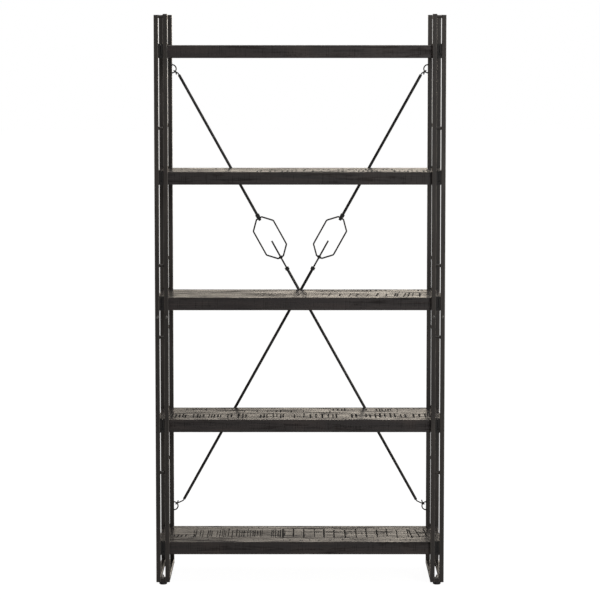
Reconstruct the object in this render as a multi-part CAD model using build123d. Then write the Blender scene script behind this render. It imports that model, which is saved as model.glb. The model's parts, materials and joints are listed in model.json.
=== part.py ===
from build123d import *
import math
import os

# Bookcase with five height-adjustable shelves between twin-post side frames.
# Millimetres. +Z up, front at -Y, +X to the right.
# The origin is on the floor, at the centre of the bounding box.

# ---- Driving dimensions ----
WIDTH = 910.0            # outside the outer posts
DEPTH = 300.0            # front face of the front posts to back face of the back posts
HEIGHT = 1800.0          # floor to the top of the inner posts

TUBE = 14.0              # square tube, outside
TUBE_WALL = 1.2
TUBE_CORNER = 2.0        # outside corner radius
SLOT = 14.5              # open slot between the outer and the inner post
FOOT_H = 8.5             # floor to the underside of the frame
JOINT_Z = 902.0          # the upper half frame stands on the lower one here
OUTER_POST_DROP = 3.0    # the outer posts end this much below the inner ones
CAP_T = 2.5              # plate that closes each post top
CAP_EDGE_R = 0.8

LINK_D = 9.5             # round spacer link across a slot
LINK_NEAR = 113.0        # links this far above and below the joint
LINK_FAR = 543.0
LINK_TOP_DROP = 5.0      # top link below the outer post's top

SHELF_TOPS = (1703.0, 1308.0, 913.0, 526.0, 135.0)    # shelf_1 is the highest
SHELF_LEN = 898.0
SHELF_FRONT = -135.0     # shelf front face, just behind the front posts
SHELF_BACK = 129.0       # shelf back edge, clear of the brace rods
SHELF_H = 40.0           # height of the front band
BOARD_T = 18.0
PLANK_GAP = 0.8
RAIL_T = 18.0            # thickness of the front and back rails
BATTEN_W = 28.0
# Plank widths as shares of the depth, front to back, for each shelf
PLANK_SHARES = ((1, 1), (3, 2, 2), (5, 1), (13, 12), (4, 10, 3))

BLOCK_SIDE_GAP = 0.3     # running gap between a guide block and the posts
BLOCK_RISE = 5.0         # guide block above the shelf top
BLOCK_RECESS = 2.5       # guide block behind the posts' outer faces
BLOCK_SLIT = 1.6         # saw cut that the clamp bolt spreads
BLOCK_BEVEL = 1.2
BOLT_D = 5.0
BOLT_HEAD_D = 8.5
BOLT_HEAD_H = 5.0
BOLT_HEAD_GAP = 0.3      # radial gap round a head in its counterbore
BOLT_HEAD_SINK = 1.0     # head below the block's face
BOLT_SOCKET_AF = 4.0
BOLT_SOCKET_DEPTH = 3.0
BOLT_TAIL = 7.0          # bolt past the middle of its barrel nut
HOLE_GAP = 0.2           # radial gap round a bolt in a plain hole
BARREL_D = 10.0          # barrel nut in the batten
BARREL_GAP = 0.1
BARREL_UP = 5.0          # barrel nut above the bolt
BARREL_DOWN = 10.0       # and below it
BARREL_INSET = 20.0      # barrel nut behind the rail
BOLT_HOLE_L = 30.0       # bolt hole in the batten

BRACE_SLOPE = 1.8        # rise over run of a brace rod
BRACE_CROSS_Z = 905.0
BRACE_FRONT_Y = 136.0    # plane of the rod that starts at the upper left
BRACE_BACK_Y = 145.4     # plane of the rod that starts at the upper right
ROD_D = 9.0
THREAD_D = 6.0
THREAD_SINK = 4.0        # threaded neck carried into the thick rod
WIRE_D = 5.0             # turnbuckle loop wire
HOOK_D = 4.0
HOOK_LEAD = 5.0          # hook wire straight on from the rod's end
HOOK_TAIL = 5.0          # length and drop of the hook's loose end
HOOK_BEND_R = 3.0
TAIL_BEND_R = 2.0
EYE_WIRE_D = 4.0
EYE_R = 13.0             # centreline radius of an eye
EYE_Z = (1627.0, 199.5)  # upper and lower eyes
EYE_DEPTH_GAP = 4.6      # hook centreline beside the eye wire
ROD_TOP_Z = 1608.0
ROD_BOTTOM_Z = 221.0
LOOP_CENTRE_S = -200.8   # loop centre along the rod, from the crossing
LOOP_HALF = 72.5         # centreline, along the rod
LOOP_SIDE_HALF = 44.0    # half of the long straight side
LOOP_W_HALF = 37.0
LOOP_TIP_HALF = 9.5
LOOP_BEND_R = 7.0
LOOP_TIP_R = 4.0
BOSS_L = 8.0             # bored boss in each tip of the loop
BOSS_AF = 10.0
SWIVEL_GAP = 0.3
SWIVEL_HEAD_D = 9.0
SWIVEL_HEAD_H = 4.0
RUNNING_GAP = 0.05       # radial gap of a pin or thread in its boss
NUT_AF = 12.0
THREAD_END_S = -189.0    # thread end inside the loop
NECK_S = -91.0           # where the thread meets the lock nut
NUT_L = 10.0

FOOT_Y = 136.0
PAD_D = 25.0
PAD_GAP = 0.3            # pad top to the frame's underside
PAD_RIM_R = 3.0
PAD_TOP_R = 0.8
PAD_FLOOR = 3.0          # pad material under the stud
STUD_D = 6.0
STUD_GAP = 0.3           # under the stud, where it swivels
STUD_POINT = 0.9
STUD_TOP_Z = 30.0
BRACKET_H = 11.0
BRACKET_L = 25.0
BRACKET_RECESS = 1.5     # bracket behind the posts' outer faces
JAM_AF = 10.0
JAM_H = 4.0

SCREW_Z = 853.0          # joint screws
SCREW_D = 4.0
SCREW_L = 5.0
SCREW_HEAD_D = 9.5
SCREW_HEAD_H = 2.2
SCREW_HEAD_R = 1.2
POST_HOLE_D = 5.4
SPIGOT_HOLE_D = 4.2
SPIGOT_REACH = 62.0      # spigot length each side of the joint
SPIGOT_GAP = 0.25
SPIGOT_WALL = 1.5
SPIGOT_CORNER = 0.9

# ---- Values worked out from them ----
OUTER_X = WIDTH / 2 - TUBE / 2
INNER_X = OUTER_X - TUBE - SLOT
SLOT_X = (OUTER_X + INNER_X) / 2
POST_Y = DEPTH / 2 - TUBE / 2
INNER_FACE_X = INNER_X - TUBE / 2
RAIL_LEN = 2 * POST_Y - TUBE
BRACE_ANGLE = math.atan(BRACE_SLOPE)
SIDES = {"left": -1, "right": 1}
ENDS = {"front": -1, "back": 1}


def save(node, *solids):
    """Write one node, as one solid or a group of separate solids."""
    shape = solids[0] if len(solids) == 1 else Compound(children=list(solids))
    export_step(shape, f"parts/{node}.step")


def along(a, b, d):
    """Round bar of diameter d from point a to point b."""
    start, end = Vector(*a), Vector(*b)
    plane = Plane(origin=start, z_dir=end - start)
    return extrude(plane * Circle(d / 2), (end - start).length)


def hex_along(a, b, flats, bore=0.0):
    """Hexagonal bar, across flats, from a to b, with an optional bore."""
    start, end = Vector(*a), Vector(*b)
    plane = Plane(origin=start, z_dir=end - start)
    outline = RegularPolygon(flats / 2, 6, major_radius=False)
    if bore:
        outline -= Circle(bore / 2)
    return extrude(plane * outline, (end - start).length)


def block(x0, x1, y0, y1, z0, z1):
    """Box between two corners."""
    size = (x1 - x0, y1 - y0, z1 - z0)
    return Pos((x0 + x1) / 2, (y0 + y1) / 2, (z0 + z1) / 2) * Box(*size)


def square_tube(length):
    """Upright square tube standing on the XY plane."""
    outside = RectangleRounded(TUBE, TUBE, TUBE_CORNER)
    bore = TUBE - 2 * TUBE_WALL
    inside = RectangleRounded(bore, bore, TUBE_CORNER - TUBE_WALL)
    return extrude(outside - inside, length)


# ---- Posts ----
def screw_hole(x, sy, d):
    """Cutter for a joint screw's hole, from a post's axis out through its face."""
    return along((x, sy * POST_Y, SCREW_Z), (x, sy * DEPTH / 2, SCREW_Z), d)


def posts():
    """Twin posts in two halves. Each lower post has a screw hole in its outer face."""
    for side, sx in SIDES.items():
        for end, sy in ENDS.items():
            lower, upper = [], []
            for x, drop in ((OUTER_X, OUTER_POST_DROP), (INNER_X, 0.0)):
                foot = Pos(sx * x, sy * POST_Y, FOOT_H)
                tube = foot * square_tube(JOINT_Z - FOOT_H) - screw_hole(sx * x, sy, POST_HOLE_D)
                lower.append(tube)
                top = HEIGHT - drop - CAP_T
                upper.append(Pos(sx * x, sy * POST_Y, JOINT_Z) * square_tube(top - JOINT_Z))
            save(f"{side}_{end}_posts_lower", *lower)
            save(f"{side}_{end}_posts_upper", *upper)


def post_caps():
    """Closing plate on each post top, with eased upper edges."""
    caps = []
    for sx in SIDES.values():
        for sy in ENDS.values():
            for x, drop in ((OUTER_X, OUTER_POST_DROP), (INNER_X, 0.0)):
                cap = extrude(RectangleRounded(TUBE, TUBE, TUBE_CORNER), CAP_T)
                cap = fillet(cap.edges().group_by(Axis.Z)[-1], CAP_EDGE_R)
                caps.append(Pos(sx * x, sy * POST_Y, HEIGHT - drop - CAP_T) * cap)
    save("post_top_caps", *caps)


def joint_spigots():
    """Square tubes inside the posts that line up the two half frames."""
    size = TUBE - 2 * TUBE_WALL - 2 * SPIGOT_GAP
    inside = size - 2 * SPIGOT_WALL
    profile = RectangleRounded(size, size, SPIGOT_CORNER) - Rectangle(inside, inside)
    spigots = []
    for sx in SIDES.values():
        for sy in ENDS.values():
            for x in (OUTER_X, INNER_X):
                tube = Pos(sx * x, sy * POST_Y, JOINT_Z - SPIGOT_REACH) * extrude(profile, 2 * SPIGOT_REACH)
                spigots.append(tube - screw_hole(sx * x, sy, SPIGOT_HOLE_D))
    save("joint_spigots", *spigots)


def joint_screws():
    """Button-head screws through the lower posts into the spigots."""
    screws = []
    for sx in SIDES.values():
        for sy in ENDS.values():
            face = sy * DEPTH / 2
            for x in (OUTER_X, INNER_X):
                centre = (sx * x, face, SCREW_Z)
                head = along(centre, (sx * x, face + sy * SCREW_HEAD_H, SCREW_Z), SCREW_HEAD_D)
                head = fillet(head.edges().sort_by(Axis.Y)[0 if sy < 0 else -1], SCREW_HEAD_R)
                shank = along(centre, (sx * x, face - sy * SCREW_L, SCREW_Z), SCREW_D)
                screws.append(head + shank)
    save("joint_screws", *screws)


def spacer_links(node, heights):
    """Round bars welded across the four slots at each height."""
    links = []
    for z in heights:
        for sx in SIDES.values():
            for sy in ENDS.values():
                y = sy * POST_Y
                a = (sx * (INNER_X + TUBE / 2), y, z)
                b = (sx * (OUTER_X - TUBE / 2), y, z)
                links.append(along(a, b, LINK_D))
    save(node, *links)


def sled_rails():
    """Square tubes on the floor line, front to back."""
    for side, sx in SIDES.items():
        rails = []
        for x in (OUTER_X, INNER_X):
            tube = Rot(X=-90) * square_tube(RAIL_LEN)
            rails.append(Pos(sx * x, -RAIL_LEN / 2, FOOT_H + TUBE / 2) * tube)
        save(f"{side}_sled_rails", *rails)


# ---- Levelling feet ----
def feet():
    """Tapped bracket and jam nut in each slot, and a stud with its swivelling pad."""
    brackets, nuts = [], []
    half = SLOT / 2
    for side, sx in SIDES.items():
        for end, sy in ENDS.items():
            x, y = sx * SLOT_X, sy * FOOT_Y
            outer = DEPTH / 2 - BRACKET_RECESS
            low, high = sorted((sy * outer, sy * (outer - BRACKET_L)))
            body = block(x - half, x + half, low, high, FOOT_H, FOOT_H + BRACKET_H)
            bore = STUD_D + 2 * RUNNING_GAP
            body -= along((x, y, 0), (x, y, STUD_TOP_Z), bore)
            brackets.append(body)
            z = FOOT_H + BRACKET_H
            nuts.append(hex_along((x, y, z), (x, y, z + JAM_H), JAM_AF, bore))

            pad = Cylinder(PAD_D / 2, FOOT_H - PAD_GAP, align=(Align.CENTER, Align.CENTER, Align.MIN))
            pad = fillet(pad.edges().group_by(Axis.Z)[0], PAD_RIM_R)
            pad = fillet(pad.edges().group_by(Axis.Z)[-1], PAD_TOP_R)
            pad = Pos(x, y, 0) * pad
            socket = along((x, y, PAD_FLOOR), (x, y, FOOT_H), bore)
            save(f"foot_pad_{end}_{side}", pad - socket)
            stud = along((x, y, PAD_FLOOR + STUD_GAP), (x, y, STUD_TOP_Z), STUD_D)
            stud = chamfer(stud.edges().group_by(Axis.Z)[-1], STUD_POINT)
            save(f"foot_stud_{end}_{side}", stud)
    save("foot_brackets", *brackets)
    save("foot_jam_nuts", *nuts)


# ---- Shelves ----
def mitred_board(y0, y1, top, front_mitre, back_mitre):
    """Plank along X whose outer long edge is mitred to meet a rail."""
    low = top - BOARD_T
    in0 = y0 + (BOARD_T if front_mitre else 0)
    in1 = y1 - (BOARD_T if back_mitre else 0)
    outline = Polyline((y0, top), (y1, top), (in1, low), (in0, low), close=True)
    face = Plane.YZ.offset(-SHELF_LEN / 2) * make_face(outline)
    return extrude(face, SHELF_LEN, dir=(1, 0, 0))


def shelf_boards(number, top, shares):
    """Planks side by side, with a narrow shadow gap between them."""
    usable = SHELF_BACK - SHELF_FRONT - PLANK_GAP * (len(shares) - 1)
    y = SHELF_FRONT
    planks = []
    for i, share in enumerate(shares):
        width = usable * share / sum(shares)
        planks.append(mitred_board(y, y + width, top, i == 0, i == len(shares) - 1))
        y += width + PLANK_GAP
    save(f"shelf_{number}_boards", *planks)


def shelf_rails(number, top):
    """Front and back rails, mitred under the boards and bored for the clamp bolts."""
    rails = []
    low = top - SHELF_H
    for face_y, sy in ((SHELF_FRONT, 1), (SHELF_BACK, -1)):
        inner = face_y + sy * RAIL_T
        outline = Polyline((face_y, top), (inner, top - RAIL_T), (inner, low), (face_y, low), close=True)
        face = Plane.YZ.offset(-SHELF_LEN / 2) * make_face(outline)
        rail = extrude(face, SHELF_LEN, dir=(1, 0, 0))
        for sx in SIDES.values():
            x, z = sx * SLOT_X, bolt_z(top)
            rail -= along((x, face_y - sy, z), (x, inner + sy, z), BOLT_D + 2 * HOLE_GAP)
        rails.append(rail)
    save(f"shelf_{number}_rails", *rails)


def bolt_z(top):
    """Height of the clamp bolts: the middle of the battens."""
    return top - (BOARD_T + SHELF_H) / 2


def shelf_battens(number, top):
    """End battens between the rails, bored for the bolts and the barrel nuts."""
    battens = []
    y0, y1 = SHELF_FRONT + RAIL_T, SHELF_BACK - RAIL_T
    z = bolt_z(top)
    for sx in SIDES.values():
        x = sx * SLOT_X
        batten = block(x - BATTEN_W / 2, x + BATTEN_W / 2, y0, y1, top - SHELF_H, top - BOARD_T)
        for y, sy in ((y0, 1), (y1, -1)):
            batten -= along((x, y - sy, z), (x, y + sy * BOLT_HOLE_L, z), BOLT_D + 2 * HOLE_GAP)
            nut_y = y + sy * BARREL_INSET
            nut_hole = BARREL_D + 2 * BARREL_GAP
            batten -= along((x, nut_y, top - SHELF_H - 1), (x, nut_y, z + BARREL_UP + 1), nut_hole)
        battens.append(batten)
    save(f"shelf_{number}_end_battens", *battens)


def guide_blocks(number, top):
    """Split blocks that run in the slots; the clamp bolt spreads the slit."""
    width = SLOT - 2 * BLOCK_SIDE_GAP
    z = bolt_z(top)
    blocks = []
    for sx in SIDES.values():
        x = sx * SLOT_X
        for face_y, sy in ((SHELF_FRONT, -1), (SHELF_BACK, 1)):
            outer = sy * (DEPTH / 2 - BLOCK_RECESS)
            low, high = sorted((face_y, outer))
            body = block(x - width / 2, x + width / 2, low, high, top - SHELF_H, top + BLOCK_RISE)
            body = chamfer(body.edges().filter_by(Axis.Y), BLOCK_BEVEL)
            body -= along((x, face_y - sy, z), (x, outer + sy, z), BOLT_D + 2 * HOLE_GAP)
            seat = outer - sy * (BOLT_HEAD_H + BOLT_HEAD_SINK)
            body -= along((x, seat, z), (x, outer + sy, z), BOLT_HEAD_D + 2 * BOLT_HEAD_GAP)
            half = BLOCK_SLIT / 2
            body -= block(x - half, x + half, low - 1, high + 1, z, top + BLOCK_RISE + 1)
            blocks.append(body)
    save(f"shelf_{number}_guide_blocks", *blocks)


def clamp_bolts(number, top):
    """Socket-head bolts through the blocks, each with its barrel nut."""
    z = bolt_z(top)
    parts = []
    for sx in SIDES.values():
        x = sx * SLOT_X
        for face_y, sy in ((SHELF_FRONT, -1), (SHELF_BACK, 1)):
            seat = sy * (DEPTH / 2 - BLOCK_RECESS - BOLT_HEAD_H - BOLT_HEAD_SINK)
            nut_y = face_y - sy * (RAIL_T + BARREL_INSET)
            top_y = seat + sy * BOLT_HEAD_H
            head = along((x, seat, z), (x, top_y, z), BOLT_HEAD_D)
            head -= hex_along((x, top_y - sy * BOLT_SOCKET_DEPTH, z), (x, top_y + sy, z), BOLT_SOCKET_AF)
            parts.append(head + along((x, seat, z), (x, nut_y - sy * BOLT_TAIL, z), BOLT_D))
            barrel = along((x, nut_y, z - BARREL_DOWN), (x, nut_y, z + BARREL_UP), BARREL_D)
            barrel -= along((x, nut_y - BARREL_D, z), (x, nut_y + BARREL_D, z), BOLT_D + 2 * RUNNING_GAP)
            parts.append(barrel)
    save(f"shelf_{number}_clamp_bolts", *parts)


# ---- Cross brace ----
def on_rod(sx, y, s, v=0.0):
    """Point at distance s below the crossing along a rod that starts at side sx,
    and v across it, in the plane y."""
    dx, dz = math.cos(BRACE_ANGLE), -math.sin(BRACE_ANGLE)
    x = s * dx - v * dz
    return (-sx * x, y, BRACE_CROSS_Z + s * dz + v * dx)


def rod_s(z):
    """Distance along a rod of the point at height z."""
    return (BRACE_CROSS_Z - z) / math.sin(BRACE_ANGLE)


def hook_wire(sx, rod_y, upper, rod_end_s):
    """Bent wire from a rod's end round the wire of its eye, ending in a short tail."""
    corner_x = sx if upper else -sx
    out = -1 if upper else 1          # direction along the rod towards the eye
    lift = 1 if upper else -1         # direction away from the eye's centre, reversed in Z
    eye_z = EYE_Z[0] if upper else EYE_Z[1]
    eye_y = eye_plane(rod_y)
    far_y = 2 * eye_y - rod_y
    c = math.cos(math.pi / 4)
    cx = corner_x * (INNER_FACE_X - EYE_R * c)
    cz = eye_z - lift * EYE_R * c
    reach = EYE_DEPTH_GAP

    def beside(distance, y, drop=0.0):
        """Point on the eye's radial line through the contact, distance outwards."""
        return (cx - corner_x * distance * c, y, cz - lift * (distance * c + drop))

    points = [
        on_rod(sx, rod_y, rod_end_s - out * HOOK_D),
        on_rod(sx, rod_y, rod_end_s + out * HOOK_LEAD),
        beside(-reach, rod_y),
        beside(-reach, far_y),
        beside(HOOK_D, far_y),
        beside(HOOK_D + HOOK_TAIL / 2, far_y, HOOK_TAIL),
    ]
    path = FilletPolyline(*points, radius=[HOOK_BEND_R, reach - 0.1, reach - 0.1, TAIL_BEND_R])
    return sweep(Plane(origin=path @ 0, z_dir=path % 0) * Circle(HOOK_D / 2), path=path)


def eye_plane(rod_y):
    """The eye wire sits beside the hook, towards the middle of the posts."""
    return rod_y + EYE_DEPTH_GAP if rod_y < POST_Y else rod_y - EYE_DEPTH_GAP


def brace_eyes():
    """Half-round wire eyes welded to the inner faces of the back inner posts."""
    eyes = []
    for upper in (True, False):
        z = EYE_Z[0] if upper else EYE_Z[1]
        for sx in SIDES.values():
            starts_left = (sx < 0) == upper
            y = eye_plane(BRACE_FRONT_Y if starts_left else BRACE_BACK_Y)
            face = sx * INNER_FACE_X
            arc = ThreePointArc((face, y, z + EYE_R), (face - sx * EYE_R, y, z), (face, y, z - EYE_R))
            wire = Plane(origin=arc @ 0, z_dir=arc % 0) * Circle(EYE_WIRE_D / 2)
            eyes.append(sweep(wire, path=arc))
    save("brace_eyes", *eyes)


def loop_wire(sx, y, v):
    """Half of the turnbuckle's bent wire, on the side v (1 or -1) of its bosses."""
    root = v * THREAD_D / 2
    corners = [(-LOOP_HALF, root), (-LOOP_HALF, v * LOOP_TIP_HALF), (-LOOP_SIDE_HALF, v * LOOP_W_HALF)]
    corners += [(-s, w) for s, w in reversed(corners)]
    points = [on_rod(sx, y, LOOP_CENTRE_S + s, w) for s, w in corners]
    path = FilletPolyline(*points, radius=[LOOP_TIP_R, LOOP_BEND_R, LOOP_BEND_R, LOOP_TIP_R])
    return sweep(Plane(origin=path @ 0, z_dir=path % 0) * Circle(WIRE_D / 2), path=path)


def turnbuckle(side, sx, y):
    """Elongated hexagonal wire loop with a bored hexagonal boss in each tip."""
    body = loop_wire(sx, y, 1) + loop_wire(sx, y, -1)
    bore = THREAD_D + 2 * RUNNING_GAP
    for tip in (-1, 1):
        s = LOOP_CENTRE_S + tip * LOOP_HALF
        a, b = on_rod(sx, y, s - BOSS_L / 2), on_rod(sx, y, s + BOSS_L / 2)
        body += hex_along(a, b, BOSS_AF)
        body -= along(on_rod(sx, y, s - BOSS_L), on_rod(sx, y, s + BOSS_L), bore)
    save(f"{side}_turnbuckle", body)


def upper_rod(side, sx, y):
    """Hook, thick rod, and the headed swivel pin that holds the loop's top boss. Returns the collar."""
    top_s = rod_s(ROD_TOP_Z)
    boss_s = LOOP_CENTRE_S - LOOP_HALF
    neck = boss_s - BOSS_L / 2 - SWIVEL_GAP - NUT_L
    head = boss_s + BOSS_L / 2 + SWIVEL_GAP
    rod = along(on_rod(sx, y, top_s), on_rod(sx, y, neck), ROD_D)
    rod += along(on_rod(sx, y, neck - THREAD_SINK), on_rod(sx, y, head + 1), THREAD_D)
    rod += along(on_rod(sx, y, head), on_rod(sx, y, head + SWIVEL_HEAD_H), SWIVEL_HEAD_D)
    rod += hook_wire(sx, y, True, top_s)
    save(f"{side}_upper_rod", rod)
    return hex_along(on_rod(sx, y, neck), on_rod(sx, y, neck + NUT_L), NUT_AF, THREAD_D + 2 * RUNNING_GAP)


def lower_rod(side, sx, y):
    """Threaded end through the loop's lower boss, thick rod, and hook."""
    end_s = rod_s(ROD_BOTTOM_Z)
    rod = along(on_rod(sx, y, THREAD_END_S), on_rod(sx, y, NECK_S + NUT_L + THREAD_SINK), THREAD_D)
    rod += along(on_rod(sx, y, NECK_S + NUT_L), on_rod(sx, y, end_s), ROD_D)
    rod += hook_wire(sx, y, False, end_s)
    save(f"{side}_lower_rod", rod)
    a, b = on_rod(sx, y, NECK_S), on_rod(sx, y, NECK_S + NUT_L)
    save(f"{side}_lock_nut", hex_along(a, b, NUT_AF, THREAD_D + 2 * RUNNING_GAP))


def brace():
    """Two crossing rods, each named after the side of its upper eye."""
    collars = []
    for side, y in (("left", BRACE_FRONT_Y), ("right", BRACE_BACK_Y)):
        sx = SIDES[side]
        collars.append(upper_rod(side, sx, y))
        turnbuckle(side, sx, y)
        lower_rod(side, sx, y)
    save("brace_swivel_collars", *collars)
    brace_eyes()


def main():
    os.makedirs("parts", exist_ok=True)
    posts()
    post_caps()
    joint_spigots()
    joint_screws()
    outer_top = HEIGHT - OUTER_POST_DROP
    upper_links = (outer_top - LINK_TOP_DROP, JOINT_Z + LINK_FAR, JOINT_Z + LINK_NEAR)
    spacer_links("spacer_links_upper", upper_links)
    spacer_links("spacer_links_lower", (JOINT_Z - LINK_NEAR, JOINT_Z - LINK_FAR))
    sled_rails()
    feet()
    for i, top in enumerate(SHELF_TOPS):
        number = i + 1
        shelf_boards(number, top, PLANK_SHARES[i])
        shelf_rails(number, top)
        shelf_battens(number, top)
        guide_blocks(number, top)
        clamp_bolts(number, top)
    brace()


main()
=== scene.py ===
import json
import math
import random

import bmesh
import bpy
import numpy as np
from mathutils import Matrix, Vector


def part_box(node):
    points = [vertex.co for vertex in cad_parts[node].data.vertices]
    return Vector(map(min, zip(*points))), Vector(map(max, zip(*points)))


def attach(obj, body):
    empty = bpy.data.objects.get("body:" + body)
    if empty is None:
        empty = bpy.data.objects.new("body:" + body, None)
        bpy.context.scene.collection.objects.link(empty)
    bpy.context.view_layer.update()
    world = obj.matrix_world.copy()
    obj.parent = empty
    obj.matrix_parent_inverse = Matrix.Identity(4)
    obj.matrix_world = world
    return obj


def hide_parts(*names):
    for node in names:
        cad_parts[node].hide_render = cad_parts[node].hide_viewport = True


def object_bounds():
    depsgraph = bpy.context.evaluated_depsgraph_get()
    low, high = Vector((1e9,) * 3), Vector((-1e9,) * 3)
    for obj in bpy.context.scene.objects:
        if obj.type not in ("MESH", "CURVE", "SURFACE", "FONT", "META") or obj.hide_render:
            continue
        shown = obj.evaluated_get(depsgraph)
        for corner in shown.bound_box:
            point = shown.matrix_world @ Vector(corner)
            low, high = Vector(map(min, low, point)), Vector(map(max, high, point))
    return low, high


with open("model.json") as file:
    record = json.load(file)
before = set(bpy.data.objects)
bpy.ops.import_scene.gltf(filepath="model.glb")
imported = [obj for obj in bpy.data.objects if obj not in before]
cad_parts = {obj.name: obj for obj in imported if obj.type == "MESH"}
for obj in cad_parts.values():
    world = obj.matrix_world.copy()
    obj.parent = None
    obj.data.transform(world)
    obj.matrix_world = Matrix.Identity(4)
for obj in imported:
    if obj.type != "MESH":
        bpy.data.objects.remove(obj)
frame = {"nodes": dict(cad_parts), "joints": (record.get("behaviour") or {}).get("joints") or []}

# Looks of the bookcase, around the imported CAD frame. Metres; +Z up, front at -Y.

MM = 0.001
TURN = 2 * math.pi
SHELVES = 5
SIDES = ("left", "right")
ENDS = ("front", "back")
cad_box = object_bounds()


# ---------------------------------------------------------------- node trees

FACTOR, COLOUR_A, COLOUR_B, COLOUR_OUT = 0, 6, 7, 2      # the Mix node's sockets for colours


class Graph:
    """A node tree, built one shader node at a time."""

    def __init__(self, tree):
        self.tree = tree

    def add(self, kind, inputs=None, **settings):
        node = self.tree.nodes.new("ShaderNode" + kind)
        for key, value in settings.items():
            setattr(node, key, value)
        for key, value in (inputs or {}).items():
            self.feed(node.inputs[key], value)
        return node

    def feed(self, socket, value):
        """Link a socket to another one, or set its constant."""
        if isinstance(value, bpy.types.NodeSocket):
            self.tree.links.new(value, socket)
        else:
            socket.default_value = value

    def split(self, vector):
        """X, Y and Z of a vector."""
        return self.add("SeparateXYZ", {0: vector}).outputs

    def maths(self, operation, a, b=0.0, clamp=False):
        return self.add("Math", {0: a, 1: b}, operation=operation, use_clamp=clamp).outputs[0]

    def plus(self, a, b, clamp=False):
        return self.maths("ADD", a, b, clamp)

    def minus(self, a, b):
        return self.maths("SUBTRACT", a, b)

    def times(self, a, b):
        return self.maths("MULTIPLY", a, b)

    def absolute(self, a):
        return self.maths("ABSOLUTE", a)

    def between(self, value, low, high, to_low=0.0, to_high=1.0):
        """Smooth step from to_low to to_high as value goes from low to high."""
        node = self.add("MapRange", {"Value": value, "From Min": low, "From Max": high,
                                     "To Min": to_low, "To Max": to_high},
                        interpolation_type="SMOOTHSTEP")
        return node.outputs[0]

    def mix(self, factor, a, b):
        """Colour that goes from a to b with factor."""
        node = self.add("Mix", {FACTOR: factor, COLOUR_A: a, COLOUR_B: b}, data_type="RGBA")
        return node.outputs[COLOUR_OUT]


class MaterialGraph(Graph):
    """A new material's node tree, with textures in the bookcase's own coordinates."""

    def __init__(self, name):
        self.material = bpy.data.materials.new(name)
        self.material.use_nodes = True
        super().__init__(self.material.node_tree)
        self.shader = self.tree.nodes["Principled BSDF"]
        self.coords = self.add("TexCoord").outputs["Object"]

    def noise(self, scale, stretch=(1, 1, 1), detail=4.0, roughness=0.55, distortion=0.0,
              shift=0.0):
        """Noise in 0..1, with scale in cycles per metre along each stretched axis."""
        mapping = self.add("Mapping", {"Vector": self.coords, "Scale": stretch,
                                       "Location": (shift, shift, shift)})
        node = self.add("TexNoise", {"Vector": mapping.outputs[0], "Scale": scale,
                                     "Detail": detail, "Roughness": roughness,
                                     "Distortion": distortion})
        return node.outputs[0]

    def attribute(self, name):
        return self.add("Attribute", attribute_name=name).outputs["Fac"]

    def bump(self, height, distance, strength=1.0, normal=None):
        inputs = {"Height": height, "Distance": distance, "Strength": strength}
        if normal is not None:
            inputs["Normal"] = normal
        return self.add("Bump", inputs).outputs[0]

    def finish(self, **sockets):
        """Set the shader's inputs; underscores stand for spaces."""
        for key, value in sockets.items():
            self.feed(self.shader.inputs[key.replace("_", " ")], value)
        return self.material


def rgb(r, g, b):
    return (r, g, b, 1.0)


def scaled(colour, factor):
    return rgb(*[c * factor for c in colour[:3]])


# ---------------------------------------------------------------- the CAD frame

SAME_POINT = 0.002 * MM      # vertices this close belong together


def islands(node):
    """Boxes of a CAD node's separate solids, found from its mesh."""
    mesh = frame["nodes"][node].data
    points = np.empty(len(mesh.vertices) * 3)
    mesh.vertices.foreach_get("co", points)
    points = points.reshape(-1, 3)
    keys = np.round(points / SAME_POINT).astype(np.int64)
    _, same = np.unique(keys, axis=0, return_inverse=True)
    same = same.ravel()
    edges = np.empty(len(mesh.edges) * 2, dtype=np.int64)
    mesh.edges.foreach_get("vertices", edges)
    a, b = same[edges.reshape(-1, 2)].T
    label = np.arange(same.max() + 1)
    while True:
        low = np.minimum(label[a], label[b])
        new = label.copy()
        np.minimum.at(new, a, low)
        np.minimum.at(new, b, low)
        new = new[new]
        if np.array_equal(new, label):
            break
        label = new
    group = label[same]
    found = []
    for g in np.unique(group):
        part = points[group == g]
        found.append((Vector(part.min(axis=0)), Vector(part.max(axis=0))))
    return found


def middle(box):
    return (box[0] + box[1]) / 2


twin_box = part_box("right_front_posts_upper")
rail_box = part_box("left_sled_rails")
POST_MID_X = (twin_box[0][0] + twin_box[1][0]) / 2           # the open slot's centre
POST_Y = -(twin_box[0][1] + twin_box[1][1]) / 2
TUBE = twin_box[1][1] - twin_box[0][1]                       # width of the square tube
POST_PITCH_HALF = (twin_box[1][0] - twin_box[0][0] - TUBE) / 2
RAIL_Z = (rail_box[0][2] + rail_box[1][2]) / 2


# ---------------------------------------------------------------- steel

PIT_DARK = rgb(0.006, 0.0055, 0.005)
CORNER_WEAR_AND_HIGHLIGHT = 1.3                            # how much paler a corner is than worn steel, as wear and a painted highlight
CORNER_FROM, CORNER_TO = 2.6 * MM, 1.7 * MM  # where the paler corner starts and is full, from the arris
PAD_BLACK = rgb(0.012, 0.012, 0.012)
PAD_DUST = rgb(0.09, 0.085, 0.08)


def tube_corner(graph, along):
    """1 on the rounded corners of the square tubes that run along Z or Y, 0 on their faces."""
    x, y, z = graph.split(graph.coords)
    from_slot = graph.absolute(graph.minus(graph.absolute(x), POST_MID_X))
    from_tube = graph.absolute(graph.minus(from_slot, POST_PITCH_HALF))
    if along == "Z":
        across = graph.minus(graph.absolute(y), POST_Y)
    else:
        across = graph.minus(z, RAIL_Z)
    reach = graph.plus(from_tube, graph.absolute(across))
    return graph.between(reach, TUBE - CORNER_FROM, TUBE - CORNER_TO)


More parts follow.
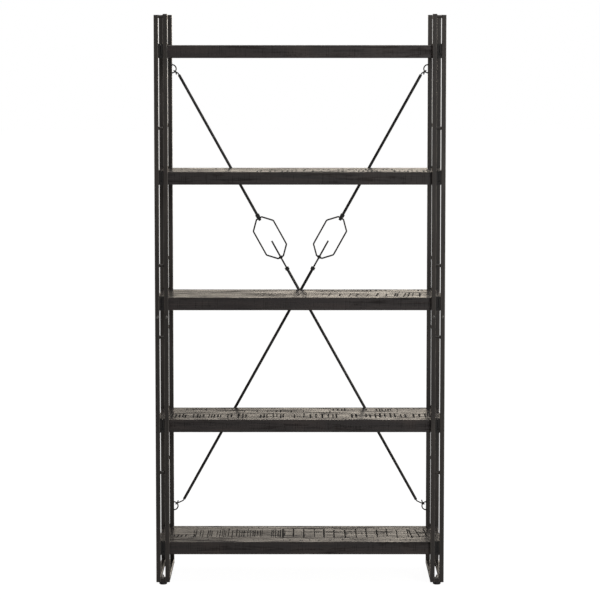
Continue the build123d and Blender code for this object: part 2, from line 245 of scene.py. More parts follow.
def steel(name, dark, brown, worn, roughness=0.3, corner_along=None):
    """Satin lacquer over raw steel: cloudy mottling, drawn streaks, pinholes, and corners painted
    paler, partly as wear and partly as a painted highlight.
    """
    g = MaterialGraph(name)

    def drawn(share):
        return (1, share, 1) if corner_along == "Y" else (1, 1, share)

    cloud = g.noise(16, drawn(0.22), detail=5, roughness=0.62, distortion=0.4)
    streak = g.noise(240, drawn(0.03), detail=3)
    fine = g.noise(900, detail=2)
    colour = g.mix(g.between(cloud, 0.42, 0.66), dark, brown)
    colour = g.mix(g.between(streak, 0.5, 0.75, 0.0, 0.45), colour, worn)
    pits = g.between(g.noise(420, detail=1, shift=3.1), 0.27, 0.34, 1.0, 0.0)
    colour = g.mix(g.times(pits, 0.7), colour, PIT_DARK)
    # Paler tube corners: partly rubbed wear, partly a painted highlight.
    if corner_along:
        rubbed = g.between(g.noise(30, (1, 1, 0.3), detail=3, shift=7.7), 0.35, 0.62, 0.3, 1.0)
        corner_wear_and_highlight = g.times(tube_corner(g, corner_along), rubbed)
        colour = g.mix(corner_wear_and_highlight, colour, scaled(worn, CORNER_WEAR_AND_HIGHLIGHT))
    rough = g.plus(g.between(cloud, 0.3, 0.7, roughness - 0.06, roughness + 0.1),
                   g.between(fine, 0.3, 0.7, -0.03, 0.05))
    normal = g.bump(fine, 0.03 * MM, 0.3)
    normal = g.bump(streak, 0.04 * MM, 0.35, normal)
    return g.finish(Base_Color=colour, Roughness=rough, Metallic=0.2, Normal=normal)


def zinc(name, dark, light):
    """Dull plating with a faint spangle."""
    g = MaterialGraph(name)
    cloud = g.noise(300, detail=4)
    fine = g.noise(2400, detail=2)
    colour = g.mix(g.between(cloud, 0.35, 0.65), dark, light)
    rough = g.between(cloud, 0.3, 0.7, 0.28, 0.48)
    normal = g.bump(fine, 0.04 * MM, 0.5)
    return g.finish(Base_Color=colour, Roughness=rough, Metallic=0.95, Normal=normal)


def pad_black(name):
    """Fine-grained matt black of the foot pads, dusty near the floor."""
    g = MaterialGraph(name)
    grain = g.noise(1500, detail=2)
    height = g.split(g.coords)[2]
    dust = g.times(g.between(height, 0.0, 5 * MM, 0.5, 0.0), g.noise(200, detail=4))
    colour = g.mix(dust, PAD_BLACK, PAD_DUST)
    rough = g.between(grain, 0.3, 0.7, 0.5, 0.68)
    normal = g.bump(grain, 0.08 * MM, 0.6)
    return g.finish(Base_Color=colour, Roughness=rough, Normal=normal)


# ---------------------------------------------------------------- wood

PATCH_BROWN = rgb(0.05, 0.034, 0.026)        # brown wood through thin stain
DRY_DARK = rgb(0.012, 0.010, 0.009)          # streaks that drank the lacquer
PORE_DARK = rgb(0.006, 0.005, 0.005)
KERF_AND_SHADE_DARK = rgb(0.005, 0.0045, 0.004)        # bottoms of the saw marks, and the painted shade along each top's back edge
RUBBED_AND_SHEEN = rgb(0.12, 0.105, 0.095)             # edges where the stain has gone, and the painted highlight along the front edge
END_DARK = rgb(0.009, 0.008, 0.0075)         # end grain
END_LIGHT = rgb(0.022, 0.019, 0.017)
FIBRE_SHADE, TONE_LIFT = 0.45, 1.8           # darkest fibre, palest plank
LACQUER_IOR = 1.55


def mango(name, dark, light, gloss=0.24, streaks=1.0):
    """Black-stained rough-sawn mango under satin lacquer, with its grain along X. The meshes carry
    three masks: one for how deep a saw mark is, which also carries a painted shade along each
    top's back edge; wear, where an edge is rubbed, which also carries a painted highlight along
    the front plank's front edge; and tone, which shifts each plank. End grain is matt."""
    g = MaterialGraph(name)
    tone = g.attribute("tone")
    kerf_and_back_shade = g.attribute("kerf_and_back_shade")
    wear = g.attribute("wear")
    figure = g.noise(7, (0.5, 5, 5), detail=6, roughness=0.6, distortion=1.2)
    streak = g.noise(30, (0.22, 2.6, 2.6), detail=5, roughness=0.7, distortion=0.6, shift=1.7)
    fibre = g.noise(330, (0.02, 1, 1), detail=4, roughness=0.65)
    pores = g.noise(900, (0.06, 1, 1), detail=2, shift=2.3)
    chatter = g.noise(260, (1, 0.035, 0.035), detail=3, roughness=0.6, shift=5.9)
    patch = g.noise(5, detail=3, shift=9.1)
    rings = g.noise(160, (1, 1, 0.35), detail=4, shift=12.3)
    dry = g.between(streak, 0.47, 0.66, 0.0, streaks)
    pore = g.between(pores, 0.28, 0.36, 1.0, 0.0)
    facing = g.split(g.add("NewGeometry").outputs["Normal"])[0]
    end_grain = g.between(g.absolute(facing), 0.7, 0.9)

    colour = g.mix(g.between(figure, 0.36, 0.68), dark, light)
    colour = g.mix(g.between(fibre, 0.38, 0.66, 0.75, 0.0), colour, scaled(dark, FIBRE_SHADE))
    colour = g.mix(g.between(tone, 0.0, 1.0, 0.0, 0.4), colour, scaled(light, TONE_LIFT))
    colour = g.mix(g.between(patch, 0.52, 0.72, 0.0, 0.5), colour, PATCH_BROWN)
    colour = g.mix(g.times(dry, 0.55), colour, DRY_DARK)
    colour = g.mix(g.times(pore, 0.6), colour, PORE_DARK)
    colour = g.mix(g.between(kerf_and_back_shade, 0.05, 0.5), colour, KERF_AND_SHADE_DARK)
    # Rubbed edges, and the painted highlight along the front edge, in pale colour.
    colour = g.mix(wear, colour, RUBBED_AND_SHEEN)
    colour = g.mix(end_grain, colour, g.mix(g.between(rings, 0.4, 0.65), END_DARK, END_LIGHT))

    rough = g.between(fibre, 0.3, 0.7, gloss + 0.12, gloss - 0.04)
    rough = g.plus(rough, g.times(dry, 0.5))
    rough = g.plus(rough, g.between(figure, 0.4, 0.7, 0.0, 0.08))
    rough = g.plus(rough, g.between(kerf_and_back_shade, 0.03, 0.4, 0.0, 0.6))
    rough = g.plus(rough, g.times(pore, 0.25), clamp=True)
    rough = g.plus(g.times(rough, g.minus(1.0, end_grain)),
                   g.times(end_grain, g.between(rings, 0.3, 0.7, 0.62, 0.78)))

    normal = g.bump(chatter, 0.12 * MM, 0.5)
    normal = g.bump(fibre, 0.1 * MM, 0.6, normal)
    normal = g.bump(pores, 0.08 * MM, 0.4, normal)
    return g.finish(Base_Color=colour, Roughness=rough, Normal=normal, IOR=LACQUER_IOR)


# ---------------------------------------------------------------- shelf meshes

NEAR_EDGE = np.array([0.0, 0.35, 0.9, 1.9, 3.4]) * MM    # grid lines close to an edge
PLANK_GRID = (1.5 * MM, 4.5 * MM)                        # spacing along and across the grain
BAND_GRID = (2.2 * MM, 5.0 * MM)
PLANK_EASE, PLANK_CHIP = 0.9 * MM, 1.3 * MM              # edge radius, and what a chip adds to it
BAND_EASE, BAND_CHIP = 0.8 * MM, 1.2 * MM
PLANK_KERF, BAND_KERF = 0.75 * MM, 0.45 * MM             # depth at which a mark is fully black
JOINT_SHARE = 0.49          # how far each plank reaches underneath, as a share of the open joint
BACK_SHADE = 7 * MM         # painted shade: a dark strip along each top's back edge
FRONT_SHEEN = 30 * MM         # painted highlight: a pale strip along the front plank's front edge
SHARP = math.radians(40)
PLANK_SEED, BAND_SEED, BEAD_SEED = 100, 200, 31


def edge_nodes(low, high, step):
    """Grid lines from low to high, closer together near both ends."""
    last = NEAR_EDGE[-1]
    inner = np.linspace(low + last, high - last, max(2, round((high - low) / step)))
    return np.concatenate([low + NEAR_EDGE[:-1], inner, (high - NEAR_EDGE[:-1])[::-1]])


def smooth(x):
    x = np.clip(x, 0.0, 1.0)
    return x * x * (3 - 2 * x)


def wobble(rng, u, wavelength, octaves=3):
    """Smooth random curve along u, roughly -1..1."""
    total = np.zeros_like(u)
    for k in range(octaves):
        for _ in range(2):
            phase = u * 2 ** k / wavelength * rng.uniform(0.7, 1.3) + rng.random()
            total += np.sin(TURN * phase) / 2 ** k
    return total / 3.2


def eased_edges(rng, U, V, radius, chip):
    """Rounded arrises whose radius wanders, with a few chips; returns the drop and a wear mask."""
    drop = np.zeros_like(U)
    wear = np.zeros_like(U)
    edges = ((V - V.min(), U), (V.max() - V, U), (U - U.min(), V), (U.max() - U, V))
    for distance, along in edges:
        r = radius * (1 + 0.35 * wobble(rng, along, 90 * MM))
        r = r + chip * smooth((wobble(rng, along, 160 * MM, 4) - 0.62) / 0.3)
        t = np.clip((r - distance) / r, 0.0, 1.0)
        drop = np.maximum(drop, r * (1 - np.sqrt(1 - 0.999 * t * t)))
        bare = smooth((wobble(rng, along, 60 * MM, 4) + 0.35) / 0.9)
        wear = np.maximum(wear, smooth(t * 1.4) * bare)
    return drop, wear


def saw_run(rng, U, V, start, end, pitch, low, high, depth, width, lean=0.0, kept=1.0):
    """One run of cross-grain saw marks on a plank. start and end are shares of its length, low and
    high shares of its width, kept the share of marks that show; the rest is in metres."""
    relief = np.zeros_like(U)
    span = V.max() - V.min()
    length = U.max() - U.min()
    u = U.min() + start * length
    stop = U.min() + end * length
    stray = 0.3 if kept < 1 else 0.08           # a run with no mark missing is a regular one
    while u < stop:
        if rng.random() < kept:
            v0 = V.min() + span * (low + 0.12 * (high - low) * rng.uniform(-1, 1))
            v1 = V.min() + span * (high + 0.15 * (high - low) * rng.uniform(-1, 1))
            d = depth * rng.uniform(0.5, 1.0)
            w = width * rng.uniform(0.6, 1.2)
            leaning = lean * rng.uniform(0.6, 1.3) * (V - v0)
            centre = u + leaning + 0.2 * MM * wobble(rng, V, 60 * MM, 1)
            near, far = rng.uniform(2, 9) * MM, rng.uniform(2, 9) * MM
            inside = smooth((V - v0) / near) * smooth((v1 - V) / far)
            relief = np.maximum(relief, d * inside * np.exp(-((U - centre) / (0.5 * w)) ** 2))
        u += pitch * (1 + stray * rng.uniform(-1, 1))
    return relief


def new_object(name, data):
    """Put an object with this mesh, light or camera in the scene."""
    obj = bpy.data.objects.new(name, data)
    bpy.context.scene.collection.objects.link(obj)
    return obj


def shade(mesh, sharp):
    """Smooth shading, with edges past the sharp angle kept crisp."""
    mesh.polygons.foreach_set("use_smooth", np.ones(len(mesh.polygons), dtype=bool))
    mesh.set_sharp_from_angle(angle=sharp)
    mesh.validate()


def slab(name, us, vs, relief, thickness, inset_low, inset_high, place, masks):
    """Closed slab whose outer face is a grid lowered by relief. Its far face is plain, and inset
    along either long edge where the slab is mitred, or wider where the inset is negative. place
    maps local (u, v, w) to the bookcase's frame."""
    nu, nv = len(us), len(vs)
    U, V = np.meshgrid(us, vs, indexing="ij")
    top = np.stack([U, V, -relief], axis=-1).reshape(-1, 3)
    bottom = np.full(nu, -thickness)
    low = np.stack([us, np.full(nu, vs[0] + inset_low), bottom], axis=-1)
    high = np.stack([us, np.full(nu, vs[-1] - inset_high), bottom], axis=-1)
    verts = np.concatenate([top, low, high])
    verts = np.array([place(*v) for v in verts])
    grid = np.arange(nu * nv).reshape(nu, nv)
    first, last = nu * nv, nu * nv + nu
    faces = []
    for i in range(nu - 1):
        for j in range(nv - 1):
            faces.append((grid[i, j], grid[i + 1, j], grid[i + 1, j + 1], grid[i, j + 1]))
        faces.append((grid[i + 1, 0], grid[i, 0], first + i, first + i + 1))
        faces.append((grid[i, -1], grid[i + 1, -1], last + i + 1, last + i))
        faces.append((first + i + 1, first + i, last + i, last + i + 1))
    faces.append(tuple(grid[0, ::-1]) + (first, last))
    faces.append(tuple(grid[-1, :]) + (last + nu - 1, first + nu - 1))
    mesh = bpy.data.meshes.new(name)
    mesh.from_pydata(verts.tolist(), [], [tuple(int(k) for k in f) for f in faces])
    corners = np.zeros(len(mesh.loops), dtype=np.int32)
    mesh.loops.foreach_get("vertex_index", corners)
    end_corners = 2 * (nv + 2)               # the two sawn ends are the last faces
    for key, values in masks.items():
        plain = values[0, 0] if key == "tone" else 0.0
        full = np.concatenate([values.reshape(-1), np.full(2 * nu, plain)])
        full = full.astype(np.float32)[corners]
        full[-end_corners:] = plain
        mesh.attributes.new(key, "FLOAT", "CORNER").data.foreach_set("value", full)
    shade(mesh, SHARP)
    return new_object(name, mesh)


def join(name, parts):
    """One object from several meshes, keeping their masks."""
    bpy.ops.object.select_all(action="DESELECT")
    for part in parts:
        part.select_set(True)
    bpy.context.view_layer.objects.active = parts[0]
    bpy.ops.object.join()
    parts[0].name = name
    parts[0].data.name = name
    return parts[0]


def finish_piece(piece, body, material, slot_name, *nodes):
    """Material, body and replaced nodes of a new piece. The slot name is not used."""
    piece.data.materials.clear()
    piece.data.materials.append(material)
    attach(piece, body)
    if nodes:
        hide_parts(*nodes)


# Saw marks of each shelf's planks, front plank first. A run is its start and end along the plank,
# pitch in mm, low and high across the plank, depth and width in mm, lean, and the share of marks
# kept.
SAWING = {
    1: [[(0, 1, 16, 0.2, 0.5, 0.4, 3.0, 0.02, 0.4)],
        [(0, 1, 22, 0.3, 0.8, 0.4, 3.0, 0.02, 0.4)]],
    2: [[(0.05, 0.3, 30, 0.3, 0.6, 0.3, 3.0, 0.05, 0.5),
         (0.35, 0.95, 13, 0.2, 0.85, 0.8, 4.5, 0.02, 0.8)],
        [(0.1, 0.5, 26, 0.2, 0.6, 0.4, 3.0, 0.05, 0.5),
         (0.5, 0.85, 14, 0.2, 0.75, 0.7, 4.5, 0.03, 0.75)],
        [(0.2, 0.9, 35, 0.1, 0.5, 0.4, 3.0, 0.05, 0.6)]],
    3: [[(0.3, 0.6, 28, 0.3, 0.62, 0.3, 4.5, 0.1, 0.5),
         (0.6, 0.84, 27, 0.2, 0.6, 0.38, 5.0, 0.1, 0.8),
         (0.84, 0.98, 19, 0.12, 0.7, 0.45, 5.0, 0.08, 0.9)],
        [(0.25, 0.5, 24, 0.2, 0.7, 0.3, 4.0, 0.04, 0.5),
         (0.5, 1.0, 16, 0.1, 0.8, 0.5, 4.6, 0.04, 0.7)]],
    4: [[(0.03, 0.31, 10.8, 0.3, 0.85, 0.9, 4.0, 0.0, 0.88),
         (0.36, 0.45, 10.8, 0.3, 0.85, 0.9, 4.0, 0.0, 0.9),
         (0.48, 0.97, 16, 0.3, 0.9, 0.9, 4.0, 0.0, 0.85)],
        [(0.02, 0.3, 22, 0.5, 0.8, 0.5, 3.2, 0.05, 0.5),
         (0.3, 0.62, 18, 0.15, 0.5, 0.5, 3.2, 0.0, 0.5),
         (0.62, 0.86, 11, 0.4, 0.8, 0.7, 3.4, 0.0, 0.75)]],
    5: [[(0.42, 0.62, 9, 0.3, 0.62, 0.6, 3.2, 0.0, 0.65),
         (0.62, 1.0, 14, 0.35, 0.65, 0.6, 3.2, 0.0, 0.5),
         (0.05, 0.4, 20, 0.4, 0.7, 0.4, 3.0, 0.0, 0.5)],
        [(0.44, 0.89, 33, 0.06, 0.97, 1.2, 3.0, 0.0, 1.0),
         (0.46, 0.98, 9, 0.3, 0.75, 0.2, 2.0, 0.0, 0.35),
         (0.9, 1.0, 26, 0.08, 0.95, 1.1, 3.2, -0.09, 1.0),
         (0.12, 0.46, 7.5, 0.12, 0.88, 0.6, 2.4, 0.0, 0.8),
         (0.02, 0.12, 12, 0.1, 0.35, 0.7, 4.0, 0.1, 0.8)],
        [(0.1, 0.95, 24, 0.1, 0.6, 0.3, 2.6, 0.0, 0.5)]],
}


def solids_front_to_back(node):
    return sorted(islands(node), key=lambda box: box[0].y)


def shelf_planks(number, material):
    """The planks of one shelf, with saw marks, cupping and eased edges, for the CAD boards."""
    rng = random.Random(PLANK_SEED + number)
    boxes = solids_front_to_back(f"shelf_{number}_boards")
    spread = JOINT_SHARE * min(b[0].y - a[1].y for a, b in zip(boxes, boxes[1:]))
    parts = []
    for k, (low, high) in enumerate(boxes):
        us = edge_nodes(low.x, high.x, PLANK_GRID[0])
        vs = edge_nodes(low.y, high.y, PLANK_GRID[1])
        U, V = np.meshgrid(us, vs, indexing="ij")
        marks = np.zeros_like(U)
        for start, end, pitch, low_v, high_v, depth, width, lean, kept in SAWING[number][k]:
            run = saw_run(rng, U, V, start, end, pitch * MM, low_v, high_v,
                          depth * MM, width * MM, lean, kept)
            marks = np.maximum(marks, run)
        scratch = 0.05 * MM * (1 + wobble(rng, U + 0.12 * V, 6.5 * MM, 2))
        swell = 0.12 * MM * (1 + wobble(rng, U + 2.0 * V, 210 * MM, 2))
        drop, wear = eased_edges(rng, U, V, PLANK_EASE, PLANK_CHIP)
        relief = marks + scratch + swell + drop
        first, last = k == 0, k == len(boxes) - 1
        kerf_and_back_shade = np.clip(marks / PLANK_KERF, 0, 1)
        # Painted shade: a dark strip along the last plank's back edge, put into the saw-mark mask.
        if last:
            kerf_and_back_shade = np.maximum(kerf_and_back_shade, 0.7 * smooth((V - high.y + BACK_SHADE) / BACK_SHADE))
        # Rubbed edges, stronger on the front plank, and a painted highlight: a pale strip along
        # its front edge.
        rub_and_front_sheen = (0.8 if first else 0.35) * wear
        if first:
            rub_and_front_sheen = np.maximum(rub_and_front_sheen, 0.45 * smooth((low.y + FRONT_SHEEN - V) / FRONT_SHEEN))
        tone = np.full_like(U, rng.random() * (1.0 if first else 0.5))
        mitre = high.z - low.z
        parts.append(slab(f"shelf_{number}_plank_{k + 1}", us, vs, relief, mitre,
                          mitre if first else -spread, mitre if last else -spread,
                          lambda u, v, w, top=high.z: (u, v, top + w),
                          {"kerf_and_back_shade": kerf_and_back_shade, "wear": rub_and_front_sheen, "tone": tone}))
    piece = join(f"shelf_{number}_planks", parts)
    finish_piece(piece, f"shelf_{number}", material, "stained_mango", f"shelf_{number}_boards")


def shelf_bands(number, material):
    """The front and back rails, mitred under the planks, with faint upright saw marks."""
    rng = random.Random(BAND_SEED + number)
    parts = []
    for low, high in solids_front_to_back(f"shelf_{number}_rails"):
        thick = high.y - low.y
        us = edge_nodes(low.x, high.x, BAND_GRID[0])
        vs = edge_nodes(low.z, high.z, BAND_GRID[1])
        U, V = np.meshgrid(us, vs, indexing="ij")
        marks = saw_run(rng, U, V, 0, 1, 6.5 * MM, 0.08, 0.92, 0.13 * MM, 2.8 * MM, 0.03, 0.75)
        swell = 0.1 * MM * (1 + wobble(rng, U, 150 * MM, 3))
        drop, wear = eased_edges(rng, U, V, BAND_EASE, BAND_CHIP)
        masks = {"kerf_and_back_shade": np.clip(marks / BAND_KERF, 0, 1), "wear": 0.3 * wear,
                 "tone": np.full_like(U, 0.3 * rng.random())}
        if low.y < 0:
            end = "front"
            place = lambda u, v, w, y=low.y: (u, y - w, v)
        else:
            end = "back"
            place = lambda u, v, w, y=high.y: (-u, y + w, v)
        parts.append(slab(f"shelf_{number}_band_{end}", us, vs, marks + swell + drop, thick,
                          0.0, thick, place, masks))
    piece = join(f"shelf_{number}_bands", parts)
    finish_piece(piece, f"shelf_{number}", material, "stained_mango", f"shelf_{number}_rails")


# ---------------------------------------------------------------- hardware meshes

THREAD_PITCH, THREAD_DEPTH = 1.0 * MM, 0.55 * MM
THREAD_SHARP, SCREW_SHARP = 60, 28       # degrees
THREAD_PAST_NUT = 12 * MM                # on through the nut, to the rod's shoulder
BEAD_INSET = 0.35 * MM                   # how far in from a link's end its bead sits
LINK_BEAD, RAIL_BEAD, EYE_BEAD = 0.9 * MM, 0.8 * MM, 1.0 * MM     # thickness of the beads


class Mesher:
    """Vertices and faces of one piece, gathered ring by ring."""

    def __init__(self):
        self.verts, self.faces = [], []

    def ring(self, points):
        start = len(self.verts)
        self.verts += [tuple(p) for p in points]
        return list(range(start, len(self.verts)))

    def bridge(self, a, b):
        n = len(a)
        for k in range(n):
            self.faces.append((a[k], a[(k + 1) % n], b[(k + 1) % n], b[k]))

    def skin(self, rings, closed=False):
        """Tube through equal rings, joined end to start when closed, or else capped."""
        rings = [self.ring(r) for r in rings]
        for a, b in zip(rings, rings[1:]):
            self.bridge(a, b)
        if closed:
            self.bridge(rings[-1], rings[0])
        else:
            self.faces.append(tuple(reversed(rings[0])))
            self.faces.append(tuple(rings[-1]))

    def build(self, name, sharp=35):
        mesh = bpy.data.meshes.new(name)
        mesh.from_pydata(self.verts, [], self.faces)
        shade(mesh, math.radians(sharp))
        return new_object(name, mesh)


def basis(axis):
    """Two unit vectors square to an axis."""
    axis = Vector(axis).normalized()
    side = axis.orthogonal().normalized()
    return side, axis.cross(side)


def square_basis(axis):
    """Basis along the bookcase's own axes, for beads round square tubes."""
    if abs(axis[1]) > 0.5:
        return Vector((1, 0, 0)), Vector((0, 0, 1))
    return Vector((0, 1, 0)), Vector((0, 0, 1))


def add_thread(mesher, start, end, radius):
    """Right-hand screw thread from start to end, tapered to its root at both ends."""
    start, end = Vector(start), Vector(end)
    axis = (end - start).normalized()
    p, q = basis(axis)
    length = (end - start).length
    around, per_pitch = 20, 4
    count = int(length / THREAD_PITCH * per_pitch)
    rings = []
    for i in range(count + 1):
        along = length * i / count
        fade = min(1.0, along / THREAD_PITCH, (length - along) / THREAD_PITCH)
        ring = []
        for k in range(around):
            turn = TURN * k / around
            phase = (along / THREAD_PITCH - k / around) % 1.0
            crest = 1 - abs(2 * phase - 1)
            r = radius - THREAD_DEPTH * (1 - crest * fade)
            ring.append(start + axis * along + (p * math.cos(turn) + q * math.sin(turn)) * r)
        rings.append(ring)
    mesher.skin(rings)


def add_bead(mesher, centre, axis, radius, thick, rng, square=False):
    """Lumpy weld bead around an axis, in a circle or a rounded square."""
    p, q = square_basis(axis) if square else basis(axis)
    axis = Vector(axis).normalized()
    steps, around = (44, 7) if square else (26, 7)
    rings = []
    for i in range(steps):
        turn = TURN * i / steps
        c, s = math.cos(turn), math.sin(turn)
        reach = min(radius / max(abs(c), abs(s)), radius * 1.3) if square else radius
        out = p * c + q * s
        lump = thick * (1 + 0.22 * math.sin(i * 2.4) + 0.16 * rng.uniform(-1, 1))
        hub = Vector(centre) + out * reach
        rings.append([hub + (out * math.cos(t) + axis * math.sin(t)) * lump
                      for t in (TURN * k / around for k in range(around))])
    mesher.skin(rings, closed=True)


def weld_beads(material):
    """Beads where the links, the sled rails and the eyes meet the posts, inside the CAD box."""
    rng = random.Random(BEAD_SEED)
    m = Mesher()
    for node in ("spacer_links_upper", "spacer_links_lower"):
        for low, high in islands(node):
            mid = middle((low, high))
            for x in (low.x, high.x):
                inward = BEAD_INSET if x == low.x else -BEAD_INSET
                add_bead(m, (x + inward, mid.y, mid.z), (1, 0, 0), (high.z - low.z) / 2,
                         LINK_BEAD, rng)
    for side in SIDES:
        for low, high in islands(f"{side}_sled_rails"):
            mid = middle((low, high))
            for y in (low.y, high.y):
                add_bead(m, (mid.x, y, mid.z), (0, 1, 0), TUBE / 2 - 0.5 * MM, RAIL_BEAD, rng,
                         square=True)
    for low, high in islands("brace_eyes"):
        mid = middle((low, high))
        face = low.x if mid.x < 0 else high.x
        wire = (high.y - low.y) / 2
        for z in (low.z + wire, high.z - wire):
            add_bead(m, (face, mid.y, z), (1, 0, 0), wire, EYE_BEAD, rng)
    low, high = cad_box
    m.verts = [tuple(min(max(v[k], low[k]), high[k]) for k in range(3)) for v in m.verts]
    finish_piece(m.build("weld_beads"), "frame", material, "black_steel")


def button_screws(material):
    """Button-head screws with a hex socket and a thin rim, in place of the plain joint screws."""
    m = Mesher()
    around = 24
    for low, high in islands("joint_screws"):
        mid = middle((low, high))
        out = -1 if mid.y < 0 else 1
        radius = (high.x - low.x) / 2
        tip, root = (low.y, high.y) if out < 0 else (high.y, low.y)
        face = out * (POST_Y + TUBE / 2)
        tall = abs(tip - face)
        shank, socket = 0.42 * radius, 0.3 * radius

        def circle(r, y):
            return [(mid.x + r * math.cos(t), y, mid.z + r * math.sin(t))
                    for t in (out * TURN * k / around for k in range(around))]

        def hexagon(r, y):
            points = []
            for k in range(around):
                t = TURN * k / around
                fold = (t + math.pi / 6) % (math.pi / 3) - math.pi / 6
                points.append((mid.x + r / math.cos(fold) * math.cos(out * t), y,
                               mid.z + r / math.cos(fold) * math.sin(out * t)))
            return points

        dome = [(radius * math.cos(a), face + out * tall * (0.18 + 0.82 * math.sin(a)))
                for a in (math.radians(d) for d in (0, 15, 30, 45, 57))]
        crown = dome[-1][1]
        rings = [circle(shank, root), circle(shank, face), circle(radius, face)]
        rings += [circle(r, y) for r, y in dome]
        rings += [hexagon(socket + 0.15 * MM, crown), hexagon(socket, crown - out * 0.2 * MM),
                  hexagon(socket, face + out * 0.25 * MM),
                  hexagon(0.1 * MM, face + out * 0.1 * MM)]
        m.skin(rings)
    piece = m.build("button_screws", SCREW_SHARP)
    finish_piece(piece, "frame", material, "black_steel", "joint_screws")


def threaded_rod(side, material):
    """The lower brace rod with a real screw thread in place of its plain threaded end."""
    node = f"{side}_lower_rod"
    source = frame["nodes"][node].data
    joint = next(j for j in frame["joints"] if j["name"] == f"{side}_turnbuckle_turn")
    axis = -Vector(joint["axis"]).normalized()
    origin = Vector(joint["pos_m"])

    def along(p):
        return (p - origin).dot(axis)

    def off_axis(p):
        return ((p - origin) - axis * along(p)).length

    nut_top = min(along(v.co) for v in frame["nodes"][f"{side}_lock_nut"].data.vertices)
    points = [v.co.copy() for v in source.vertices]
    tip = min(along(p) for p in points)
    radius = max(off_axis(p) for p in points if along(p) < nut_top + 1 * MM)
    piece = new_object(f"{side}_lower_rod_threaded", source.copy())
    bm = bmesh.new()
    bm.from_mesh(piece.data)
    plain_end = [f for f in bm.faces if off_axis(f.calc_center_median()) < radius * 1.02
                 and min(along(v.co) for v in f.verts) < nut_top]
    bmesh.ops.delete(bm, geom=plain_end, context="FACES")
    bm.to_mesh(piece.data)
    bm.free()
    m = Mesher()
    add_thread(m, origin + axis * tip, origin + axis * (nut_top + THREAD_PAST_NUT), radius)
    screw = m.build(f"{side}_thread", THREAD_SHARP)
    piece = join(f"{side}_lower_rod_threaded", [piece, screw])
    finish_piece(piece, f"{side}_lower_rod", material, "brace_steel", node)


def threaded_stud(name, material):
    """Levelling stud with its screw thread."""
    low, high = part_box(name)
    mid = middle((low, high))
    m = Mesher()
    add_thread(m, (mid.x, mid.y, low.z), (mid.x, mid.y, high.z), (high.x - low.x) / 2)
    piece = m.build(f"{name}_threaded", THREAD_SHARP)
    finish_piece(piece, name, material, "zinc_hardware", name)


def paint(node, material):
    """Give a carried-over CAD node its material."""
    obj = frame["nodes"][node]
    for s in obj.material_slots:
        s.material = material


# ---------------------------------------------------------------- put together

POST_TONES = rgb(0.024, 0.021, 0.0185), rgb(0.037, 0.031, 0.026), rgb(0.064, 0.058, 0.052)
BRACE_TONES = rgb(0.012, 0.0115, 0.011), rgb(0.02, 0.018, 0.016), rgb(0.045, 0.042, 0.04)
# Guide blocks and clamp bolts are painted near black, darker than the posts' steel: painted shade
# in the slot between the posts.
BLOCK_SHADE_TONES = rgb(0.006, 0.0055, 0.005), rgb(0.010, 0.009, 0.008), rgb(0.02, 0.018, 0.017)
SCREW_TONES = rgb(0.10, 0.097, 0.093), rgb(0.22, 0.215, 0.205)
ZINC_TONES = rgb(0.34, 0.33, 0.31), rgb(0.52, 0.51, 0.48)
# The tops and the bands are one stained wood; the tops are painted lighter than the bands, as
# painted light and shade.
TOP_TONES_PAINTED_LIGHTER = rgb(0.019, 0.0165, 0.0145), rgb(0.042, 0.035, 0.03)
BAND_TONES_PAINTED_DARKER = rgb(0.0145, 0.0098, 0.009), rgb(0.032, 0.0218, 0.019)

post_steel = steel("post_steel", *POST_TONES, roughness=0.44, corner_along="Z")
rail_steel = steel("rail_steel", *POST_TONES, roughness=0.26, corner_along="Y")
small_steel = steel("small_steel", *POST_TONES)
brace_steel = steel("brace_steel", *BRACE_TONES, roughness=0.4)
# Painted shade: the slot's blocks and bolts are darker than the posts.
block_steel = steel("block_steel", *BLOCK_SHADE_TONES, roughness=0.55)
screw_black = zinc("screw_black", *SCREW_TONES)
zinc_plate = zinc("zinc_plate", *ZINC_TONES)
pad_finish = pad_black("pad_finish")
# Lighter copy for the tops, darker copy for the bands and battens: painted light and shade on one
# wood.
top_wood_painted_lighter = mango("top_wood_painted_lighter", *TOP_TONES_PAINTED_LIGHTER)
band_wood_painted_darker = mango("band_wood_painted_darker", *BAND_TONES_PAINTED_DARKER, gloss=0.4, streaks=0.9)

for side in SIDES:
    for end in ENDS:
        for half in ("lower", "upper"):
            paint(f"{side}_{end}_posts_{half}", post_steel)
        paint(f"foot_pad_{end}_{side}", pad_finish)
        threaded_stud(f"foot_stud_{end}_{side}", zinc_plate)
    paint(f"{side}_sled_rails", rail_steel)
    for node in ("upper_rod", "turnbuckle", "lock_nut"):
        paint(f"{side}_{node}", brace_steel)
    threaded_rod(side, brace_steel)
for node in ("post_top_caps", "joint_spigots", "spacer_links_upper", "spacer_links_lower",
             "foot_brackets"):
    paint(node, small_steel)
paint("brace_eyes", brace_steel)
paint("brace_swivel_collars", brace_steel)
paint("foot_jam_nuts", zinc_plate)
button_screws(screw_black)
weld_beads(small_steel)

for number in range(1, SHELVES + 1):
    shelf_planks(number, top_wood_painted_lighter)
    shelf_bands(number, band_wood_painted_darker)
    paint(f"shelf_{number}_end_battens", band_wood_painted_darker)
    paint(f"shelf_{number}_guide_blocks", block_steel)
    paint(f"shelf_{number}_clamp_bolts", block_steel)


# ---------------------------------------------------------------- studio

WHITE = rgb(1.0, 1.0, 1.0)
BACKDROP_HORIZON = (1.28, 1.14, 0.95)        # the backdrop's tint low down, and higher up
BACKDROP_HIGHER = (1.14, 1.1, 1.1)
FRONT_LEFT = rgb(0.16, 0.138, 0.125)         # the studio on the camera's side
FRONT_RIGHT = rgb(0.25, 0.243, 0.25)
FLOOR_DARK, FLOOR_LIGHT = rgb(0.5, 0.5, 0.5), rgb(0.55, 0.55, 0.55)
FLOOR_HALF = 40.0
FLOOR_GLOW, FLOOR_GLOW_SHARE = 1.34, 0.72
LENS, SENSOR, SHIFT_Y = 149.9, 36.0, -0.065
CAMERA_AT, CAMERA_DOWN = (0.0, -7.943, 1.713), 5.01


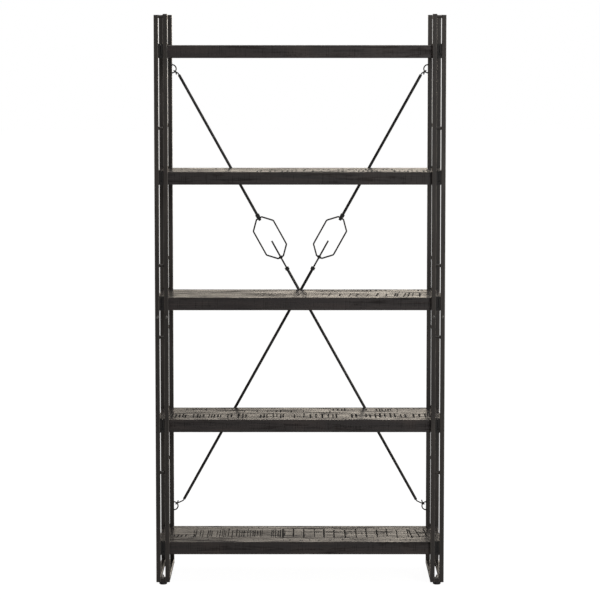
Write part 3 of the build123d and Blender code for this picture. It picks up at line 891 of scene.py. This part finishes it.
def studio_world():
    """White for the camera. Reflections see a bright warm backdrop behind the bookcase, brightest
    low down and to the right, and a dimmer studio on the camera's side."""
    world = bpy.data.worlds.new("studio")
    bpy.context.scene.world = world
    world.use_nodes = True
    g = Graph(world.node_tree)
    x, y, z = g.split(g.add("TexCoord").outputs["Generated"])
    behind = g.between(y, -0.55, 0.75)
    low_down = g.between(z, -0.02, 0.25, 3.2, 0.24)
    to_right = g.between(x, -0.2, 0.2, 0.35, 1.65)
    glow = g.times(low_down, to_right)
    backdrop = g.add("CombineColor")
    for socket, horizon, higher in zip(backdrop.inputs, BACKDROP_HORIZON, BACKDROP_HIGHER):
        g.feed(socket, g.times(glow, g.between(z, 0.06, 0.4, horizon, higher)))
    front = g.mix(g.between(x, -0.3, 0.3), FRONT_LEFT, FRONT_RIGHT)
    studio = g.mix(behind, front, backdrop.outputs[0])
    seen = g.add("LightPath").outputs["Is Camera Ray"]
    background = g.tree.nodes["Background"]
    g.feed(background.inputs["Color"], g.mix(seen, studio, WHITE))
    g.feed(background.inputs["Strength"], 1.0)


def studio_floor():
    """Wide pale floor with a glow for the camera, so that it fades into the backdrop."""
    mesh = bpy.data.meshes.new("studio_floor")
    h = FLOOR_HALF
    mesh.from_pydata([(-h, -h, 0), (h, -h, 0), (h, h, 0), (-h, h, 0)], [], [(0, 1, 2, 3)])
    floor = new_object("studio_floor", mesh)
    g = MaterialGraph("studio_floor")
    colour = g.mix(g.noise(3.0, detail=2), FLOOR_DARK, FLOOR_LIGHT)
    material = g.finish(Base_Color=colour, Roughness=0.9)
    glow = g.add("Emission", {"Color": WHITE, "Strength": FLOOR_GLOW})
    seen = g.add("LightPath").outputs["Is Camera Ray"]
    blend = g.add("MixShader", {0: g.times(seen, FLOOR_GLOW_SHARE), 1: g.shader.outputs[0],
                                2: glow.outputs[0]})
    g.feed(g.tree.nodes["Material Output"].inputs["Surface"], blend.outputs[0])
    mesh.materials.append(material)


def softbox(name, location, target, size, power):
    """White rectangular area light aimed at a point."""
    light = bpy.data.lights.new(name, "AREA")
    light.shape = "RECTANGLE"
    light.size, light.size_y = size
    light.energy = power
    lamp = new_object(name, light)
    lamp.location = location
    aim = Vector(target) - Vector(location)
    lamp.rotation_euler = aim.to_track_quat("-Z", "Y").to_euler()


def studio_camera():
    """Long lens from the height of the top shelf, tilted a little down."""
    data = bpy.data.cameras.new("camera")
    data.lens = LENS
    data.sensor_width = SENSOR
    data.shift_y = SHIFT_Y
    data.clip_end = 100.0
    camera = new_object("camera", data)
    camera.location = CAMERA_AT
    camera.rotation_euler = (math.radians(90 - CAMERA_DOWN), 0.0, 0.0)
    bpy.context.scene.camera = camera


studio_world()
studio_floor()
softbox("key", (3.2, -6.0, 2.6), (0.0, 0.0, 0.9), (2.2, 3.0), 150.0)
softbox("overhead", (0.0, -0.6, 4.6), (0.0, 0.0, 0.8), (3.0, 2.4), 90.0)
studio_camera()
bpy.context.scene.view_settings.view_transform = "Standard"
bpy.context.scene.view_settings.look = "None"
